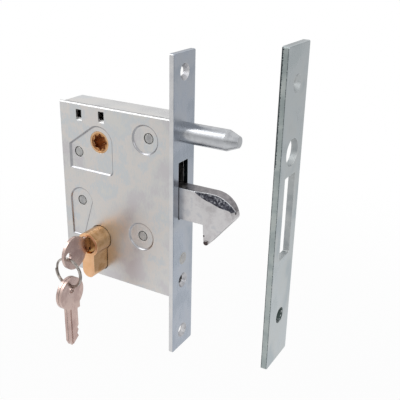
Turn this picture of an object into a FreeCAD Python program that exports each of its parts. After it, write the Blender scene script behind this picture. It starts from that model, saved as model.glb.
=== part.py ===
import FreeCAD, Part
import math
import os
import re
import Sketcher

# Hook lock for a sliding gate: mortise case, lifting hook, centring pin,
# profile cylinder with keys, and the strike plate that the hook catches.
# X points out of the faceplate, Y through the case, Z up. Millimetres.
# The origin is on the faceplate's rear face, midway between its two screw holes.
# Among the sizes, depths count from the faceplate's front and heights from its lower end.

os.makedirs("parts", exist_ok=True)
doc = FreeCAD.newDocument("HookLock")
sheet = doc.addObject("Spreadsheet::Sheet", "Sizes")

driving_sizes = [
    ("plate_height", 204.0, "faceplate height"),
    ("plate_width", 25.0, "faceplate width"),
    ("plate_thick", 3.0, "faceplate thickness"),
    ("plate_corner", 1.2, "faceplate corner radius"),
    ("plate_edge", 0.7, "rounding of the faceplate's front edges"),
    ("screw_inset", 12.0, "faceplate screw holes, from each end"),
    ("screw_hole", 5.6, "faceplate screw hole"),
    ("screw_sink", 10.4, "countersink of the screw holes"),
    ("case_low", 43.0, "underside of the case above the faceplate's end"),
    ("case_height", 121.0, "height of the case"),
    ("case_back", 90.0, "depth of the case behind the faceplate's front"),
    ("case_half", 10.5, "half of the case thickness"),
    ("case_wall", 2.0, "wall of the tray"),
    ("case_radius", 2.5, "corner radius of the tray"),
    ("cover_thick", 2.0, "cover plate thickness"),
    ("cover_lap", 0.5, "cover plate proud of the tray's edge"),
    ("cover_edge", 0.5, "rounding of the cover plate's edge"),
    ("slot_low", 98.0, "lower end of the hook slot"),
    ("slot_high", 136.5, "upper end of the hook slot"),
    ("slot_width", 11.0, "width of the hook slot"),
    ("slot_shift", 0.9, "hook slot, towards the cover"),
    ("slot_corner", 0.8, "corner radius of the hook slot"),
    ("hook_thick", 10.0, "thickness of the hook"),
    ("pivot_deep", 25.5, "hook pivot behind the faceplate's front"),
    ("pivot_high", 81.6, "height of the hook pivot"),
    ("pivot_bore", 8.0, "bore of the hook"),
    ("boss_radius", 12.0, "boss round the hook pivot"),
    ("shank_low", 99.0, "underside of the hook's shank"),
    ("shank_high", 120.4, "top of the hook's shank"),
    ("throat_deep", 16.9, "hook throat in front of the faceplate"),
    ("nose_reach", 39.8, "foremost point of the nose"),
    ("nose_high", 109.6, "height of the nose's foremost point"),
    ("nose_low", 83.6, "lowest point of the nose"),
    ("nose_arc", 25.0, "radius of the nose's back"),
    ("tip_radius", 1.8, "radius of the nose's lowest point"),
    ("tooth_radius", 3.5, "rounded ends of the hook's two tails"),
    ("horn_deep", 38.0, "upper tail behind the faceplate's front"),
    ("horn_high", 119.0, "height of the upper tail's end"),
    ("tail_deep", 47.0, "lower tail behind the faceplate's front"),
    ("tail_high", 91.0, "height of the lower tail's end"),
    ("work_gap", 0.3, "play between the levers and the hook's tails"),
    ("run_gap", 0.05, "running clearance on a radius"),
    ("side_gap", 0.2, "play beside a moving piece"),
    ("pin_high", 154.8, "height of the centring pin"),
    ("pin_radius", 6.5, "radius of the centring pin"),
    ("pin_reach", 38.0, "length of the centring pin"),
    ("pin_cone", 7.5, "length of the pin's cone"),
    ("pin_end", 3.5, "radius of the pin's blunt end"),
    ("pin_neck", 4.5, "radius of the pin's riveted neck"),
    ("stud_high", 68.0, "height of the riveted faceplate stud"),
    ("stud_radius", 4.2, "radius of the riveted stud"),
    ("follow_deep", 59.0, "spindle follower behind the faceplate's front"),
    ("follow_high", 140.3, "height of the spindle follower"),
    ("follow_radius", 7.4, "journal radius of the follower"),
    ("follow_collar", 9.6, "collar radius of the follower"),
    ("spindle_side", 8.2, "side of the square spindle hole"),
    ("arm_length", 35.0, "reach of the follower's arm"),
    ("arm_thick", 6.0, "thickness of the follower's arm"),
    ("press_deep", 1.2, "depth of the follower recess in the cover"),
    ("dimple_deep", 1.0, "depth of the round and teardrop pressings"),
    ("dimple_radius", 9.7, "radius of the round pressings"),
    ("press_slope", 38.0, "slope of the pressings' walls, in degrees"),
    ("upper_deep", 20.0, "upper case rivet behind the faceplate's front"),
    ("upper_high", 149.6, "height of the upper case rivet"),
    ("rear_deep", 76.4, "rear case rivet behind the faceplate's front"),
    ("rear_high", 131.0, "height of the rear case rivet"),
    ("lever_deep", 75.5, "cam lever pivot behind the faceplate's front"),
    ("lever_high", 96.2, "height of the cam lever pivot"),
    ("lever_bore", 6.0, "bore of the cam lever"),
    ("lever_thick", 4.0, "thickness of the cam lever"),
    ("lever_reach", 30.0, "reach of the cam lever's upper arm"),
    ("cyl_deep", 60.0, "backset of the cylinder"),
    ("cyl_high", 72.3, "height of the cylinder's axis"),
    ("cyl_half", 25.0, "half length of the cylinder"),
    ("barrel_radius", 8.5, "radius of the cylinder's barrel"),
    ("web_half", 5.0, "half width of the cylinder's web"),
    ("cyl_tall", 33.0, "overall height of the cylinder"),
    ("cyl_gap", 0.3, "clearance of the case round the cylinder"),
    ("cam_half", 4.8, "half thickness of the cam"),
    ("cam_reach", 15.2, "radius of the cam's nose"),
    ("cam_ring", 7.6, "radius of the cam's ring"),
    ("cam_side", 4.0, "half width of the cam's nose"),
    ("plug_radius", 5.0, "radius of the plugs"),
    ("head_radius", 6.4, "radius of the plug's head"),
    ("head_deep", 1.2, "depth of the plug's head"),
    ("plug_end", 1.4, "inner end of the front plug past mid length"),
    ("key_thick", 2.0, "thickness of the keys"),
    ("key_blade", 8.4, "height of the key's blade"),
    ("bow_radius", 11.2, "radius of the key's bow"),
    ("bow_gap", 13.2, "bow centre to the key's stop shoulder"),
    ("key_tip", 39.2, "bow centre to the tip of the key"),
    ("key_hole", 2.8, "radius of the hole in the bow"),
    ("hole_out", 6.7, "bow centre to the hole in the lock's own key"),
    ("spare_out", 3.4, "bow centre to the hole in the spare keys"),
    ("groove_half", 0.9, "half width of the key's profile grooves"),
    ("groove_deep", 0.55, "depth of the key's profile grooves"),
    ("key_seat", 0.3, "play between the key's shoulder and the plug"),
    ("ring_radius", 10.0, "centre radius of the key ring"),
    ("ring_wire", 0.85, "radius of the key ring's wire"),
    ("fix_high", 51.6, "height of the cylinder's fixing screw"),
    ("fix_radius", 2.5, "radius of the fixing screw"),
    ("wire_radius", 0.5, "radius of the spring wire"),
    ("coil_pitch", 1.02, "pitch of the spring coils"),
    ("rivet_end", 2.9, "radius of the rivets' visible ends"),
    ("strike_height", 200.0, "strike plate height"),
    ("strike_width", 30.0, "strike plate width"),
    ("strike_thick", 4.0, "strike plate thickness"),
    ("strike_face", 71.0, "front of the strike plate from the faceplate"),
    ("strike_low", 15.4, "lower end of the strike plate"),
    ("strike_bore", 8.2, "radius of the strike plate's pin hole"),
    ("catch_low", 89.0, "lower end of the strike plate's catch slot"),
    ("catch_high", 141.0, "upper end of the catch slot"),
    ("catch_width", 15.0, "width of the catch slot"),
    ("strike_screw_low", 47.8, "height of the lower strike screw"),
    ("strike_screw_high", 194.2, "height of the upper strike screw"),
]
for row, (name, size, note) in enumerate(driving_sizes, 1):
    sheet.set("A%d" % row, note)
    sheet.set("B%d" % row, str(size))
    sheet.setAlias("B%d" % row, name)
doc.recompute()

size_names = {name for name, size, note in driving_sizes}
sub_parts = []


def cell(formula):
    """The formula with each size pointing at its cell."""
    def point(found):
        word = found.group(0)
        return "Sizes." + word if word in size_names else word
    return re.sub(r"[a-z][a-z_]*", point, formula)


def mm(formula):
    """The formula's present value."""
    return float(sheet.evalExpression(formula))


def bind(thing, field, formula):
    """Tie one property of an object to the sizes."""
    thing.setExpression(field, cell(formula))


def set_place(thing, place):
    """Bind an object's place, given from the faceplate's front face and lower end."""
    bind(thing, "Placement.Base.x", place[0] + "+plate_thick")
    bind(thing, "Placement.Base.y", place[1])
    bind(thing, "Placement.Base.z", place[2] + "-plate_height/2")


def new_body(label, place=("0", "0", "0")):
    """An empty body, set at a place given by three formulas."""
    body = doc.addObject("PartDesign::Body", label)
    body.Label = label
    set_place(body, place)
    sub_parts.append(body)
    return body


def new_sketch(body, plane, offset="0"):
    """A sketch on one of the body's own planes, moved along its normal."""
    sketch = body.newObject("Sketcher::SketchObject", body.Label + "_sketch")
    plane_object = [o for o in body.Origin.OriginFeatures if o.Role == plane][0]
    sketch.AttachmentSupport = [(plane_object, "")]
    sketch.MapMode = "FlatFace"
    bind(sketch, "AttachmentOffset.Base.z", offset)
    return sketch


def hold(sketch, kind, geometry, point, formula):
    """A dimension on a sketch point or curve, tied to the sizes."""
    if point:
        rule = Sketcher.Constraint(kind, geometry, point, mm(formula))
    else:
        rule = Sketcher.Constraint(kind, geometry, mm(formula))
    number = sketch.addConstraint(rule)
    sketch.setExpression("Constraints[%d]" % number, cell(formula))


def arc_centre(start, end, bulge):
    """Centre of the short arc from start to end. A positive bulge bends right of the way."""
    middle = (start + end) * 0.5
    way = end - start
    rise = math.sqrt(max(bulge * bulge - way.Length * way.Length / 4, 0.0))
    left = FreeCAD.Vector(-way.y, way.x, 0).normalize()
    return middle + left * (rise if bulge > 0 else -rise)


def add_outline(sketch, corners):
    """A closed outline. A corner is (x, y), or (x, y, r) where the side after it is an arc."""
    points = [FreeCAD.Vector(mm(c[0]), mm(c[1]), 0) for c in corners]
    first = sketch.GeometryCount
    ends = []
    for i, corner in enumerate(corners):
        start = points[i]
        end = points[(i + 1) % len(points)]
        if len(corner) == 2:
            sketch.addGeometry(Part.LineSegment(start, end))
            ends.append((1, 2))
            continue
        bulge = mm(corner[2])
        centre = arc_centre(start, end, bulge)
        a0 = math.atan2(start.y - centre.y, start.x - centre.x)
        a1 = math.atan2(end.y - centre.y, end.x - centre.x)
        circle = Part.Circle(centre, FreeCAD.Vector(0, 0, 1), abs(bulge))
        if bulge > 0:
            sketch.addGeometry(Part.ArcOfCircle(circle, a0, a1 if a1 > a0 else a1 + 2 * math.pi))
            ends.append((1, 2))
        else:
            sketch.addGeometry(Part.ArcOfCircle(circle, a1, a0 if a0 > a1 else a0 + 2 * math.pi))
            ends.append((2, 1))
    count = len(corners)
    for i in range(count):
        after = (i + 1) % count
        sketch.addConstraint(Sketcher.Constraint(
            "Coincident", first + i, ends[i][1], first + after, ends[after][0]))
    for i, corner in enumerate(corners):
        hold(sketch, "DistanceX", first + i, ends[i][0], corner[0])
        hold(sketch, "DistanceY", first + i, ends[i][0], corner[1])
        if len(corner) == 3:
            hold(sketch, "Radius", first + i, 0, corner[2].lstrip("-"))


def add_circle(sketch, x, y, radius):
    """A round hole or disc at a place given by formulas."""
    circle = Part.Circle(FreeCAD.Vector(mm(x), mm(y), 0), FreeCAD.Vector(0, 0, 1), mm(radius))
    number = sketch.addGeometry(circle)
    hold(sketch, "DistanceX", number, 3, x)
    hold(sketch, "DistanceY", number, 3, y)
    hold(sketch, "Radius", number, 0, radius)


def pad(body, sketch, length, reverse=False, slope="0"):
    """Material added along the sketch's normal, or against it, with sloping sides if asked."""
    feature = body.newObject("PartDesign::Pad", body.Label + "_pad")
    feature.Profile = sketch
    bind(feature, "Length", length)
    bind(feature, "TaperAngle", "-(%s)" % slope)
    feature.Reversed = reverse
    doc.recompute()
    return feature


def pocket(body, sketch, length, slope="0"):
    """Material cut away against the sketch's normal, with sloping sides if asked."""
    before = body.Shape.Volume
    feature = body.newObject("PartDesign::Pocket", body.Label + "_pocket")
    feature.Profile = sketch
    bind(feature, "Length", length)
    bind(feature, "TaperAngle", "-(%s)" % slope)
    doc.recompute()
    if body.Shape.Volume > before - 1e-6:
        raise ValueError("a pocket of %s cut nothing" % body.Label)
    return feature


def turned(label, place, outline, along):
    """A piece turned about X or Y through its own origin: outline of (along, radius)."""
    body = new_body(label, place)
    sketch = new_sketch(body, "XY_Plane")
    if along == "X":
        add_outline(sketch, outline)
        axis = "H_Axis"
    else:
        add_outline(sketch, [(radius, length) for length, radius in outline])
        axis = "V_Axis"
    feature = body.newObject("PartDesign::Revolution", label + "_turn")
    feature.Profile = sketch
    feature.ReferenceAxis = (sketch, [axis])
    feature.Angle = 360
    doc.recompute()
    return body


def round_edges(body, base, radius, wanted):
    """Round the edges of the last feature that the test picks."""
    names = []
    for number, edge in enumerate(base.Shape.Edges, 1):
        if wanted(edge):
            names.append("Edge%d" % number)
    feature = body.newObject("PartDesign::Fillet", body.Label + "_fillet")
    feature.Base = (base, names)
    bind(feature, "Radius", radius)
    doc.recompute()
    return feature


def straight_along(edge, axis):
    """Whether an edge is a straight line along one axis."""
    box = edge.BoundBox
    spans = {"X": box.XLength, "Y": box.YLength, "Z": box.ZLength}
    others = [spans[a] for a in "XYZ" if a != axis]
    return spans[axis] > 0.5 and max(others) < 1e-6


def box_corners(x0, x1, y0, y1):
    """Outline of a rectangle given by four formulas."""
    return [(x0, y0), (x1, y0), (x1, y1), (x0, y1)]


def soft_box(x0, x1, y0, y1, radius):
    """Outline of a rectangle with rounded corners, counter-clockwise."""
    return [
        ("%s+%s" % (x0, radius), y0),
        ("%s-%s" % (x1, radius), y0, radius),
        (x1, "%s+%s" % (y0, radius)),
        (x1, "%s-%s" % (y1, radius), radius),
        ("%s-%s" % (x1, radius), y1),
        ("%s+%s" % (x0, radius), y1, radius),
        (x0, "%s-%s" % (y1, radius)),
        (x0, "%s+%s" % (y0, radius), radius),
    ]


def cylinder_outline(grow):
    """The profile cylinder's outline seen along Y, grown all round."""
    radius = "(barrel_radius+%s)" % grow
    half = "(web_half+%s)" % grow
    neck = "cyl_high-sqrt(%s^2-%s^2)" % (radius, half)
    low = "cyl_high+barrel_radius-cyl_tall-%s" % grow
    return [
        ("-cyl_deep+%s" % half, neck, radius),
        ("-cyl_deep+%s" % radius, "cyl_high", radius),
        ("-cyl_deep", "cyl_high+%s" % radius, radius),
        ("-cyl_deep-%s" % radius, "cyl_high", radius),
        ("-cyl_deep-%s" % half, neck),
        ("-cyl_deep-%s" % half, "%s+%s" % (low, half), half),
        ("-cyl_deep", low, half),
        ("-cyl_deep+%s" % half, "%s+%s" % (low, half)),
    ]


# Case

def make_tray():
    """Folded and welded steel tray: back plate and four walls, open on the cover side."""
    body = new_body("case_tray")
    front = "case_half-cover_thick"
    depth = "2*case_half-cover_thick"
    sketch = new_sketch(body, "XZ_Plane", front)
    add_outline(sketch, box_corners("-case_back", "-plate_thick",
                                    "case_low", "case_low+case_height"))
    block = pad(body, sketch, depth, reverse=True)
    round_edges(body, block, "case_radius",
                lambda e: straight_along(e, "Y") and e.BoundBox.XMax < -mm("case_back") + 0.1)
    sketch = new_sketch(body, "XZ_Plane", front)
    add_outline(sketch, box_corners("-case_back+case_wall", "-plate_thick-case_wall",
                                    "case_low+case_wall", "case_low+case_height-case_wall"))
    pocket(body, sketch, depth + "-case_wall")
    sketch = new_sketch(body, "XZ_Plane", front)
    add_outline(sketch, cylinder_outline("cyl_gap"))
    add_circle(sketch, "-follow_deep", "follow_high", "follow_radius+run_gap")
    for deep, high in rivet_places:
        add_circle(sketch, deep, high, "rivet_end")
    pocket(body, sketch, depth)
    sketch = new_sketch(body, "YZ_Plane", "-plate_thick")
    add_outline(sketch, box_corners("-slot_shift-slot_width/2", "-slot_shift+slot_width/2",
                                    "slot_low", "slot_high"))
    add_circle(sketch, "0", "pin_high", "pin_neck")
    add_circle(sketch, "0", "stud_high", "stud_radius")
    add_circle(sketch, "0", "fix_high", "fix_radius+0.3")
    pocket(body, sketch, "case_wall")


def make_cover():
    """Steel cover with its pressings: follower recess, two dimples and a teardrop."""
    body = new_body("case_cover")
    face = "case_half"
    sketch = new_sketch(body, "XZ_Plane", face)
    add_outline(sketch, box_corners("-case_back", "-plate_thick",
                                    "case_low-cover_lap", "case_low+case_height+cover_lap"))
    plate = pad(body, sketch, "cover_thick", reverse=True)
    round_edges(body, plate, "cover_edge",
                lambda e: e.BoundBox.YMax < -mm("case_half") + 0.01
                and e.BoundBox.XMin < -mm("plate_thick") - 0.5)
    pressings = [("press_deep", recess_outline), ("dimple_deep", teardrop_outline)]
    for deep, outline in pressings:
        sketch = new_sketch(body, "XZ_Plane", "case_half-cover_thick")
        add_outline(sketch, outline("1.2"))
        pad(body, sketch, deep, reverse=True, slope="press_slope")
        sketch = new_sketch(body, "XZ_Plane", face)
        add_outline(sketch, outline("0"))
        pocket(body, sketch, deep, slope="press_slope")
    sketch = new_sketch(body, "XZ_Plane", "case_half-cover_thick")
    for deep, high in dimple_places:
        add_circle(sketch, deep, high, "dimple_radius+1.2")
    pad(body, sketch, "dimple_deep", reverse=True, slope="press_slope")
    sketch = new_sketch(body, "XZ_Plane", face)
    for deep, high in dimple_places:
        add_circle(sketch, deep, high, "dimple_radius")
    pocket(body, sketch, "dimple_deep", slope="press_slope")
    sketch = new_sketch(body, "XZ_Plane", face)
    add_outline(sketch, cylinder_outline("cyl_gap"))
    add_circle(sketch, "-follow_deep", "follow_high", "follow_radius+run_gap")
    for deep, high in rivet_places:
        add_circle(sketch, deep, high, "rivet_end+0.7")
    for left, low in (("-76.4", "154.8"), ("-58.2", "155.8")):
        add_outline(sketch, box_corners(left, left + "+4.5", low, low + "+5.6"))
    pocket(body, sketch, "cover_thick+press_deep")


def recess_outline(grow):
    """House-shaped follower recess: square foot, slanted roof and a round shoulder."""
    left = "-83.4-%s" % grow
    low = "119-%s" % grow
    right = "-follow_deep+11.2+%s" % grow
    return [
        (left, low),
        (right + "-3", low, "3"),
        (right, low + "+3"),
        (right, "follow_high", "(11.2+%s)" % grow),
        ("-follow_deep-4.6", "follow_high+10.21+%s" % grow),
        (left, "136.2+%s" % grow),
    ]


def teardrop_outline(grow):
    """Teardrop pressing over the cam lever's pivot and its hanging arm."""
    radius = "(9.4+%s)" % grow
    return [
        ("-84.4-%s" % grow, "69.5-%s" % grow),
        ("-74.4+%s" % grow, "69.5-%s" % grow),
        ("-lever_deep+%s" % radius, "lever_high", radius),
        ("-lever_deep", "lever_high+%s" % radius, radius),
        ("-lever_deep-%s" % radius, "lever_high"),
    ]


# Places along the case, as (X, Z) formulas

rivet_places = [
    ("-upper_deep", "upper_high"),
    ("-pivot_deep", "pivot_high"),
    ("-rear_deep", "rear_high"),
    ("-lever_deep", "lever_high"),
]
dimple_places = [
    ("-upper_deep-2.2", "upper_high-1.1"),
    ("-pivot_deep-0.8", "pivot_high-0.4"),
]
make_tray()
make_cover()


# Faceplate and strike plate

def drill_countersunk(body, places, face, depth, bore, sink):
    """Countersunk screw holes through a plate, from the face that points to +X."""
    sketch = new_sketch(body, "YZ_Plane", face)
    for y, z in places:
        add_circle(sketch, y, z, bore + "/2")
    pocket(body, sketch, depth)
    for y, z in places:
        groove_sketch = new_sketch(body, "XZ_Plane", "0-(" + y + ")")
        add_outline(groove_sketch, [
            (face, z),
            (face, "%s+%s/2" % (z, sink)),
            ("%s-(%s-%s)/2" % (face, sink, bore), "%s+%s/2" % (z, bore)),
            ("%s-(%s-%s)/2" % (face, sink, bore), z),
        ])
        line = groove_sketch.addGeometry(Part.LineSegment(
            FreeCAD.Vector(mm(face), mm(z), 0), FreeCAD.Vector(mm(face) - 1, mm(z), 0)), True)
        groove_sketch.addConstraint(Sketcher.Constraint("Horizontal", line))
        hold(groove_sketch, "DistanceX", line, 1, face)
        hold(groove_sketch, "DistanceY", line, 1, z)
        hold(groove_sketch, "DistanceX", line, 2, face + "-1")
        before = body.Shape.Volume
        groove = body.newObject("PartDesign::Groove", body.Label + "_sink")
        groove.Profile = groove_sketch
        groove.ReferenceAxis = (groove_sketch, ["Axis0"])
        groove.Angle = 360
        doc.recompute()
        if body.Shape.Volume > before - 1e-6:
            raise ValueError("a countersink of %s cut nothing" % body.Label)


def make_faceplate():
    """Faceplate with its hook slot, rivet holes and three countersunk holes."""
    body = new_body("faceplate")
    sketch = new_sketch(body, "YZ_Plane")
    add_outline(sketch, soft_box("-plate_width/2", "plate_width/2", "0", "plate_height",
                                 "plate_corner"))
    plate = pad(body, sketch, "plate_thick", reverse=True)
    round_edges(body, plate, "plate_edge",
                lambda e: straight_along(e, "Z") and e.BoundBox.XMin > -0.01)
    sketch = new_sketch(body, "YZ_Plane")
    add_outline(sketch, soft_box("-slot_shift-slot_width/2", "-slot_shift+slot_width/2",
                                 "slot_low", "slot_high", "slot_corner"))
    add_circle(sketch, "0", "pin_high", "pin_neck")
    add_circle(sketch, "0", "stud_high", "stud_radius")
    pocket(body, sketch, "plate_thick")
    places = [("0", "screw_inset"), ("0", "fix_high"), ("0", "plate_height-screw_inset")]
    drill_countersunk(body, places, "0", "plate_thick", "screw_hole", "screw_sink")


def make_strike():
    """Strike plate: pin hole, catch slot and two countersunk holes."""
    body = new_body("strike_plate")
    sketch = new_sketch(body, "YZ_Plane", "strike_face")
    add_outline(sketch, soft_box("-strike_width/2", "strike_width/2", "strike_low",
                                 "strike_low+strike_height", "plate_corner"))
    plate = pad(body, sketch, "strike_thick", reverse=True)
    round_edges(body, plate, "plate_edge",
                lambda e: straight_along(e, "Z") and e.BoundBox.XMin > mm("strike_face") - 0.01)
    sketch = new_sketch(body, "YZ_Plane", "strike_face")
    add_outline(sketch, soft_box("-catch_width/2", "catch_width/2", "catch_low",
                                 "catch_high", "slot_corner"))
    add_circle(sketch, "0", "pin_high", "strike_bore")
    pocket(body, sketch, "strike_thick")
    places = [("0", "strike_screw_low"), ("0", "strike_screw_high")]
    drill_countersunk(body, places, "strike_face", "strike_thick", "screw_hole", "screw_sink")


make_faceplate()
make_strike()


# Pieces turned along X: centring pin and faceplate stud

turned("centring_pin", ("0", "0", "pin_high"), [
    ("-plate_thick-case_wall", "0"),
    ("pin_reach", "0"),
    ("pin_reach", "pin_end"),
    ("pin_reach-pin_cone", "pin_radius"),
    ("0", "pin_radius"),
    ("0", "pin_neck"),
    ("-plate_thick-case_wall", "pin_neck"),
], "X")
turned("faceplate_stud", ("0", "0", "stud_high"), [
    ("-plate_thick-case_wall-2", "0"),
    ("0.25", "0"),
    ("0.25", "stud_radius-0.9"),
    ("0", "stud_radius"),
    ("-plate_thick-case_wall", "stud_radius"),
    ("-plate_thick-case_wall", "stud_radius+1.6"),
    ("-plate_thick-case_wall-2", "stud_radius+1.6"),
], "X")


# Case rivets and pivots, turned along Y, from the cover to the back plate

def make_rivet(label, deep, high, press, stem, shoulder, stem_low, stem_high):
    """Stepped rivet: ends in both plates, shoulders between them, a stem for a moving piece."""
    inner = "-case_half+cover_thick+" + press
    back = "case_half-case_wall"
    outline = [
        ("-case_half+0.1+" + press, "0"),
        ("case_half", "0"),
        ("case_half", "rivet_end"),
        (back, "rivet_end"),
        (back, shoulder),
    ]
    if stem:
        outline += [(stem_high, shoulder), (stem_high, stem), (stem_low, stem),
                    (stem_low, shoulder)]
    outline += [(inner, shoulder), (inner, "rivet_end"), ("-case_half+0.1+" + press, "rivet_end")]
    return turned(label, (deep, "0", high), outline, "Y")


hook_front = "-slot_shift-hook_thick/2"
hook_rear = "-slot_shift+hook_thick/2"
make_rivet("upper_case_rivet", "-upper_deep", "upper_high", "dimple_deep", "", "5", "", "")
make_rivet("rear_case_rivet", "-rear_deep", "rear_high", "press_deep", "", "3.6", "", "")
make_rivet("hook_pivot_rivet", "-pivot_deep", "pivot_high", "dimple_deep",
           "pivot_bore/2-run_gap", "5.2", hook_front + "-side_gap", hook_rear + "+side_gap")
make_rivet("lever_pivot_rivet", "-lever_deep", "lever_high", "dimple_deep",
           "lever_bore/2-run_gap", "4.2", "-lever_thick/2-side_gap", "lever_thick/2+side_gap")


# Hook

def make_hook():
    """Cast steel hook: nose, shank, pivot boss and two tails worked by the levers."""
    body = new_body("hook")
    sketch = new_sketch(body, "XZ_Plane", "slot_shift+hook_thick/2")
    horn_left = "-horn_deep-tooth_radius"
    horn_right = "-horn_deep+tooth_radius"
    add_outline(sketch, [
        ("throat_deep", "shank_low"),
        ("throat_deep-0.3", "nose_low+tip_radius", "tip_radius"),
        ("throat_deep+2.6", "nose_low+tip_radius*0.6"),
        ("nose_reach-0.4", "nose_high-2", "3"),
        ("nose_reach-0.9", "nose_high+2.4", "nose_arc"),
        ("throat_deep+1.5", "shank_high"),
        ("-8", "shank_high"),
        ("-14.5", "shank_high-3"),
        ("-24.5", "107"),
        ("-31.5", "106.5"),
        (horn_right, "horn_high", "tooth_radius"),
        ("-horn_deep", "horn_high+tooth_radius", "tooth_radius"),
        (horn_left, "horn_high"),
        ("-37.8", "96"),
        ("-40", "91.6"),
        ("-tail_deep+2.9", "tail_high+1.96", "tooth_radius"),
        ("-tail_deep", "tail_high+tooth_radius", "tooth_radius"),
        ("-tail_deep-tooth_radius", "tail_high", "tooth_radius"),
        ("-tail_deep", "tail_high-tooth_radius"),
        ("-pivot_deep-boss_radius", "pivot_high", "boss_radius"),
        ("-pivot_deep", "pivot_high-boss_radius", "boss_radius"),
        ("-pivot_deep+boss_radius", "pivot_high"),
        ("-9", "shank_low-5"),
        ("-4", "shank_low"),
    ])
    pad(body, sketch, "hook_thick", reverse=True)
    sketch = new_sketch(body, "XZ_Plane", "slot_shift+hook_thick/2")
    add_circle(sketch, "-pivot_deep", "pivot_high", "pivot_bore/2")
    pocket(body, sketch, "hook_thick")
    cut_cheek(body, "-1")
    cut_cheek(body, "1")


def cut_cheek(body, side):
    """Slanting flat on one side of the nose, where the hook narrows to its back."""
    face = "-slot_shift+(hook_thick/2)*%s" % side
    feature = body.newObject("PartDesign::SubtractiveLoft", "hook_cheek")
    sections = []
    for x, low, deep in (("12", "shank_high-0.1", "0.05"), ("26", "113.9", "2.0"),
                         ("41", "106.5", "5.2")):
        sketch = new_sketch(body, "YZ_Plane", x)
        outer = "%s+(0.5)*%s" % (face, side)
        inner = "%s-(%s)*%s" % (face, deep, side)
        add_outline(sketch, [
            (face, low),
            (outer, low),
            (outer, "shank_high+3"),
            (inner, "shank_high+3"),
            (inner, low + "+6.2" if x != "12" else "shank_high+0.2"),
        ])
        sections.append(sketch)
    feature.Profile = sections[0]
    feature.Sections = sections[1:]
    feature.Ruled = True
    doc.recompute()


make_hook()


# Follower and cam lever

def make_follower():
    """Brass follower: journals in both plates, a collar, an arm and the square hole."""
    body = new_body("follower", ("-follow_deep", "0", "follow_high"))
    sketch = new_sketch(body, "XZ_Plane", "case_half-press_deep-0.1")
    add_circle(sketch, "0", "0", "follow_radius")
    pad(body, sketch, "2*case_half-press_deep-0.1", reverse=True)
    collar = "case_half-cover_thick-press_deep-side_gap"
    sketch = new_sketch(body, "XZ_Plane", collar)
    add_circle(sketch, "0", "0", "follow_collar")
    pad(body, sketch, collar + "+case_half-case_wall-side_gap", reverse=True)
    sketch = new_sketch(body, "XZ_Plane", "slot_shift+arm_thick/2")
    side_x = "(%s)" % arm_cos
    side_z = "(%s)" % arm_sin
    corners = []
    for along, across in (("4", "-7"), ("24", "-3"), ("arm_length-3", "-3"),
                          ("arm_length", "0"), ("arm_length-3", "3.2"), ("4", "7.5")):
        corners.append(("(%s)*%s-(%s)*%s" % (along, side_x, across, side_z),
                        "(%s)*%s+(%s)*%s" % (along, side_z, across, side_x)))
    add_outline(sketch, corners)
    pad(body, sketch, "arm_thick", reverse=True)
    sketch = new_sketch(body, "XZ_Plane", "case_half")
    half = "spindle_side/2"
    add_outline(sketch, box_corners("-" + half, half, "-" + half, half))
    pocket(body, sketch, "2*case_half")


horn_x = "(follow_deep-horn_deep)"
horn_z = "(horn_high-follow_high)"
horn_far = "sqrt(%s^2+%s^2)" % (horn_x, horn_z)
arm_turn = "(atan2(%s; %s)+asin((tooth_radius+work_gap+3.4)/%s))" % (horn_z, horn_x, horn_far)
arm_cos = "cos(%s)" % arm_turn
arm_sin = "sin(%s)" % arm_turn
make_follower()


def make_cam_lever():
    """Two-armed lever: the cam pushes its hanging arm, its upper arm presses the hook's tail."""
    body = new_body("cam_lever", ("-lever_deep", "0", "lever_high"))
    sketch = new_sketch(body, "XZ_Plane", "lever_thick/2")
    reach = "(lever_deep-tail_deep)"
    drop = "(tail_high+tooth_radius+work_gap-lever_high)"
    add_outline(sketch, [
        ("6", drop + "-0.4"),
        (reach + "+1.5", drop, "3.2"),
        (reach + "+1.5", drop + "+6"),
        ("0", "7.4"),
        ("-7.4", "0"),
        ("-3.4", "-26"),
        ("0.6", "-35.2", "3"),
        ("6.2", "-35"),
        ("8.4", "-28"),
        ("6.4", "-24.5"),
        ("6.6", "-10"),
    ])
    pad(body, sketch, "lever_thick", reverse=True)
    sketch = new_sketch(body, "XZ_Plane", "lever_thick/2")
    add_circle(sketch, "0", "0", "lever_bore/2")
    pocket(body, sketch, "lever_thick")


make_cam_lever()


# Profile cylinder

def make_cylinder():
    """Brass profile cylinder, milled out in the middle for the cam."""
    body = new_body("cylinder_body")
    sketch = new_sketch(body, "XZ_Plane", "cyl_half")
    add_outline(sketch, cylinder_outline("0"))
    pad(body, sketch, "2*cyl_half", reverse=True)
    sketch = new_sketch(body, "XZ_Plane", "cam_half+0.3")
    add_outline(sketch, box_corners("-cyl_deep-barrel_radius-1", "-cyl_deep+barrel_radius+1",
                                    "cyl_high-cam_reach-0.6", "cyl_high+barrel_radius+1"))
    pocket(body, sketch, "2*cam_half+0.6")
    sketch = new_sketch(body, "XZ_Plane", "cyl_half")
    add_circle(sketch, "-cyl_deep", "cyl_high", "plug_radius+run_gap")
    pocket(body, sketch, "2*cyl_half")
    for face in ("cyl_half", "-cyl_half+head_deep"):
        sketch = new_sketch(body, "XZ_Plane", face)
        add_circle(sketch, "-cyl_deep", "cyl_high", "head_radius+run_gap")
        pocket(body, sketch, "head_deep")
    sketch = new_sketch(body, "YZ_Plane", "-cyl_deep+web_half+1")
    add_circle(sketch, "0", "fix_high", "fix_radius+run_gap")
    pocket(body, sketch, "2*web_half+2")


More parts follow.
